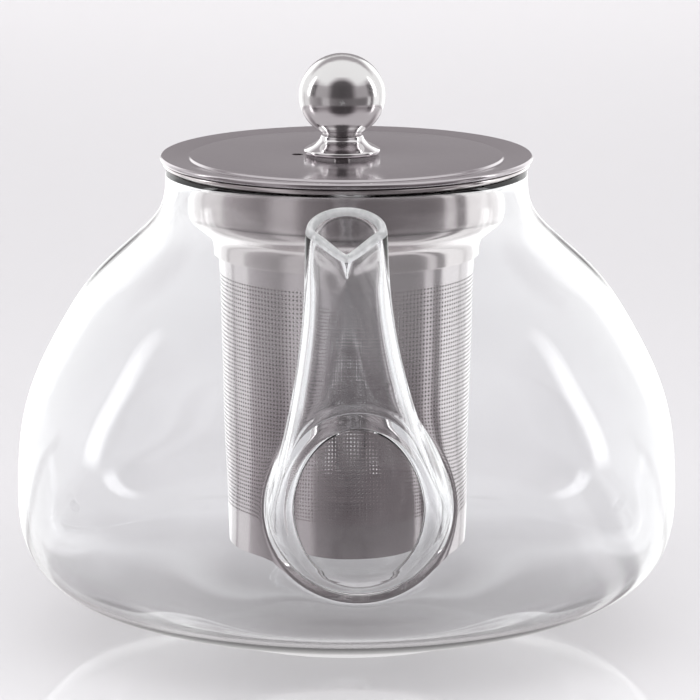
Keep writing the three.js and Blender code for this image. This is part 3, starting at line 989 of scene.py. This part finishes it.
def studio(nodes, links, direction):
    """The brightness of the painted room that reflections see in a direction from the teapot."""
    parts = nodes.new("ShaderNodeSeparateXYZ")
    links.new(direction, parts.inputs["Vector"])
    x, y, z = parts.outputs
    to_front = arithmetic(nodes, links, "MULTIPLY", y, -1)
    around = arithmetic(nodes, links, "DEGREES", arithmetic(nodes, links, "ARCTAN2", x, to_front))
    upwards = arithmetic(nodes, links, "DEGREES", arithmetic(nodes, links, "ARCSINE", z))
    along = nodes.new("ShaderNodeVectorMath")
    along.operation = "DOT_PRODUCT"
    along.inputs[1].default_value = CEILING_AXIS
    links.new(direction, along.inputs[0])
    overhead = arithmetic(
        nodes, links, "DEGREES", arithmetic(nodes, links, "ARCCOSINE", along.outputs["Value"]),
    )
    brightness = ramp(nodes, links, upwards, UNDER_THE_TEAPOT)
    for place, stops, band in (
        (around, ROUND_THE_TABLE, TABLE_BAND),
        (around, ROUND_THE_WALLS, WALL_BAND),
        (overhead, ALONG_THE_CEILING, CEILING_BAND),
    ):
        part = ramp(nodes, links, place, stops)
        share = ramp(nodes, links, upwards, band)
        brightness = arithmetic(
            nodes, links, "ADD", brightness, arithmetic(nodes, links, "MULTIPLY", part, share),
        )
    painted_card = arithmetic(
        nodes, links, "MULTIPLY",
        ramp(nodes, links, around, PAINTED_CARD_BREADTH), ramp(nodes, links, upwards, PAINTED_CARD_HEIGHT),
    )
    dimmed = arithmetic(
        nodes, links, "SUBTRACT", 1, arithmetic(nodes, links, "MULTIPLY", painted_card, PAINTED_CARD_DIMMING),
    )
    return arithmetic(nodes, links, "MULTIPLY", brightness, dimmed)


def after_a_mirror(nodes, links):
    """1 for light that has met a mirror or a reflection on its way, 0 for all the rest."""
    path = nodes.new("ShaderNodeLightPath")
    return arithmetic(nodes, links, "GREATER_THAN", path.outputs["Glossy Depth"], 0.5)


def glow(nodes, links, brightness):
    """An emission of a brightness, a touch mauve where it is dim."""
    tint = nodes.new("ShaderNodeMix")
    tint.data_type = "RGBA"
    tint.inputs["A"].default_value = (1.0, 0.90, 0.95, 1)
    tint.inputs["B"].default_value = (1, 1, 1, 1)
    links.new(brightness, tint.inputs["Factor"])
    light = nodes.new("ShaderNodeEmission")
    links.new(tint.outputs["Result"], light.inputs["Color"])
    links.new(brightness, light.inputs["Strength"])
    return light.outputs["Emission"]


def sweep_material():
    """Pale glossy acrylic to the eye; reflections see the painted studio instead."""
    made, nodes, links, shader = new_material("sweep")
    shader.inputs["Base Color"].default_value = (0.83, 0.82, 0.83, 1)
    shader.inputs["Roughness"].default_value = 0.05
    shader.inputs["Specular IOR Level"].default_value = 0.22
    position = nodes.new("ShaderNodeNewGeometry")
    centred = nodes.new("ShaderNodeVectorMath")
    centred.operation = "SUBTRACT"
    centred.inputs[1].default_value = STUDIO_CENTRE
    unit = nodes.new("ShaderNodeVectorMath")
    unit.operation = "NORMALIZE"
    links.new(position.outputs["Position"], centred.inputs[0])
    links.new(centred.outputs["Vector"], unit.inputs[0])
    seen = glow(nodes, links, studio(nodes, links, unit.outputs["Vector"]))
    either = nodes.new("ShaderNodeMixShader")
    links.new(after_a_mirror(nodes, links), either.inputs["Fac"])
    links.new(shader.outputs["BSDF"], either.inputs[1])
    links.new(seen, either.inputs[2])
    links.new(either.outputs["Shader"], nodes["Material Output"].inputs["Surface"])
    made.cycles.emission_sampling = "NONE"
    return made


def build_sweep():
    """A round table top that curves up into walls on every side."""
    profile = [(0, 0), (FLOOR_RADIUS, 0)]
    for step in range(1, WALL_BEND_STEPS + 1):
        angle = math.pi / 2 * step / WALL_BEND_STEPS
        profile.append((
            FLOOR_RADIUS + WALL_BEND * math.sin(angle), WALL_BEND * (1 - math.cos(angle)),
        ))
    profile.append((FLOOR_RADIUS + WALL_BEND, WALL_HEIGHT))
    section = [Vector((radius, height - FLOOR_DROP)) for radius, height in profile]
    sweep = turned("sweep", 0, section, False)
    sweep.data.flip_normals()
    sweep.data.materials.append(sweep_material())


def add_lamp(name, place, width, depth, power):
    """A soft lamp facing straight down. Reflections don't show it, but the painted studio."""
    lamp = bpy.data.lights.new(name, "AREA")
    lamp.shape = "RECTANGLE"
    lamp.size = width
    lamp.size_y = depth
    lamp.energy = power
    holder = bpy.data.objects.new(name, lamp)
    holder.location = place
    holder.visible_glossy = False
    holder.visible_transmission = False
    holder.visible_camera = False
    bpy.context.scene.collection.objects.link(holder)


def build_world():
    """Plain white light all round; reflections see the painted studio instead."""
    world = bpy.data.worlds.new("room")
    bpy.context.scene.world = world
    world.use_nodes = True
    nodes, links = world.node_tree.nodes, world.node_tree.links
    plain = nodes["Background"]
    plain.inputs["Color"].default_value = (0.98, 0.98, 1, 1)
    plain.inputs["Strength"].default_value = 1.0
    where = nodes.new("ShaderNodeTexCoord")
    seen = glow(nodes, links, studio(nodes, links, where.outputs["Generated"]))
    either = nodes.new("ShaderNodeMixShader")
    links.new(after_a_mirror(nodes, links), either.inputs["Fac"])
    links.new(plain.outputs["Background"], either.inputs[1])
    links.new(seen, either.inputs[2])
    links.new(either.outputs["Shader"], nodes["World Output"].inputs["Surface"])


# ---- The camera -----------------------------------------------------------------

CAMERA_DISTANCE = 1.300  # level distance from the vessel's axis
CAMERA_HEIGHT = 0.3402
CAMERA_PITCH = math.radians(11.4)  # below the horizon
CAMERA_LENS = 251.3  # in millimetres, on a 36 mm wide sensor
CAMERA_SHIFT = 0.005


def build_camera():
    """A long lens in front of the spout, a little above the lid."""
    lens = bpy.data.cameras.new("camera")
    lens.sensor_width = 36
    lens.lens = CAMERA_LENS
    lens.clip_start = 0.05
    lens.clip_end = 20
    lens.shift_x = CAMERA_SHIFT
    camera = bpy.data.objects.new("camera", lens)
    camera.location = (0, -CAMERA_DISTANCE, CAMERA_HEIGHT)
    camera.rotation_euler = (math.pi / 2 - CAMERA_PITCH, 0, 0)
    bpy.context.scene.collection.objects.link(camera)
    bpy.context.scene.camera = camera


# ---- Putting it together --------------------------------------------------------

build_camera()
build_sweep()
build_world()
add_lamp("backdrop_lamp", place=(0, 2.0, 1.4), width=1.4, depth=0.8, power=22)
add_lamp("front_lamp", place=(0, -0.6, 0.9), width=1.2, depth=0.5, power=6.5)

bright_steel = steel(
    "bright_steel", colour=(0.82, 0.80, 0.81), roughness=(0.04, 0.08), scratch_depth=0.003 * MM,
)
# ball_steel paints shade towards the ball's outline through edge=0.3.
ball_steel = steel(
    "ball_steel", colour=(0.80, 0.79, 0.79), roughness=(0.12, 0.18), scratch_depth=0.003 * MM,
    edge=0.3,
)
drawn_steel = steel(
    "drawn_steel", colour=(0.84, 0.80, 0.80), roughness=(0.10, 0.19), scratch_depth=0.004 * MM,
    brushed=(1, 1, 0.1),
)
basket_steel = steel(
    "basket_steel", colour=(0.80, 0.76, 0.77), roughness=(0.10, 0.17), scratch_depth=0.006 * MM,
    brushed=(0.4, 0.4, 4),
)
lid_steel = steel(
    "lid_steel", colour=(0.56, 0.525, 0.545), roughness=(0.11, 0.19), scratch_depth=0.006 * MM,
    brushed=(1, 0.08, 1),
)

build_glass(clear_glass(), ground_glass())
remake("infuser_collar", "infuser", "mirror_steel", drawn_steel)
build_basket_half("basket_front", math.pi, basket_steel)
build_basket_half("basket_back", 0, basket_steel)
remake("infuser_bottom", "infuser", "satin_steel", basket_steel)
drill_vent(remake("lid_cap", "lid", "satin_steel", lid_steel))
remake("lid_skirt", "lid", "mirror_steel", bright_steel)
remake("knob_base", "lid", "mirror_steel", bright_steel)
remake("knob_ball", "lid", "mirror_steel", ball_steel)
for node in ("knob_washer", "knob_screw"):
    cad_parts[node].data.materials.clear()
    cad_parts[node].data.materials.append(basket_steel)

bpy.context.scene.view_settings.view_transform = "Standard"
# Light runs round many times inside the glass's rims before it leaves.
bpy.context.scene.cycles.max_bounces = 24
bpy.context.scene.cycles.glossy_bounces = 16
bpy.context.scene.cycles.transmission_bounces = 24
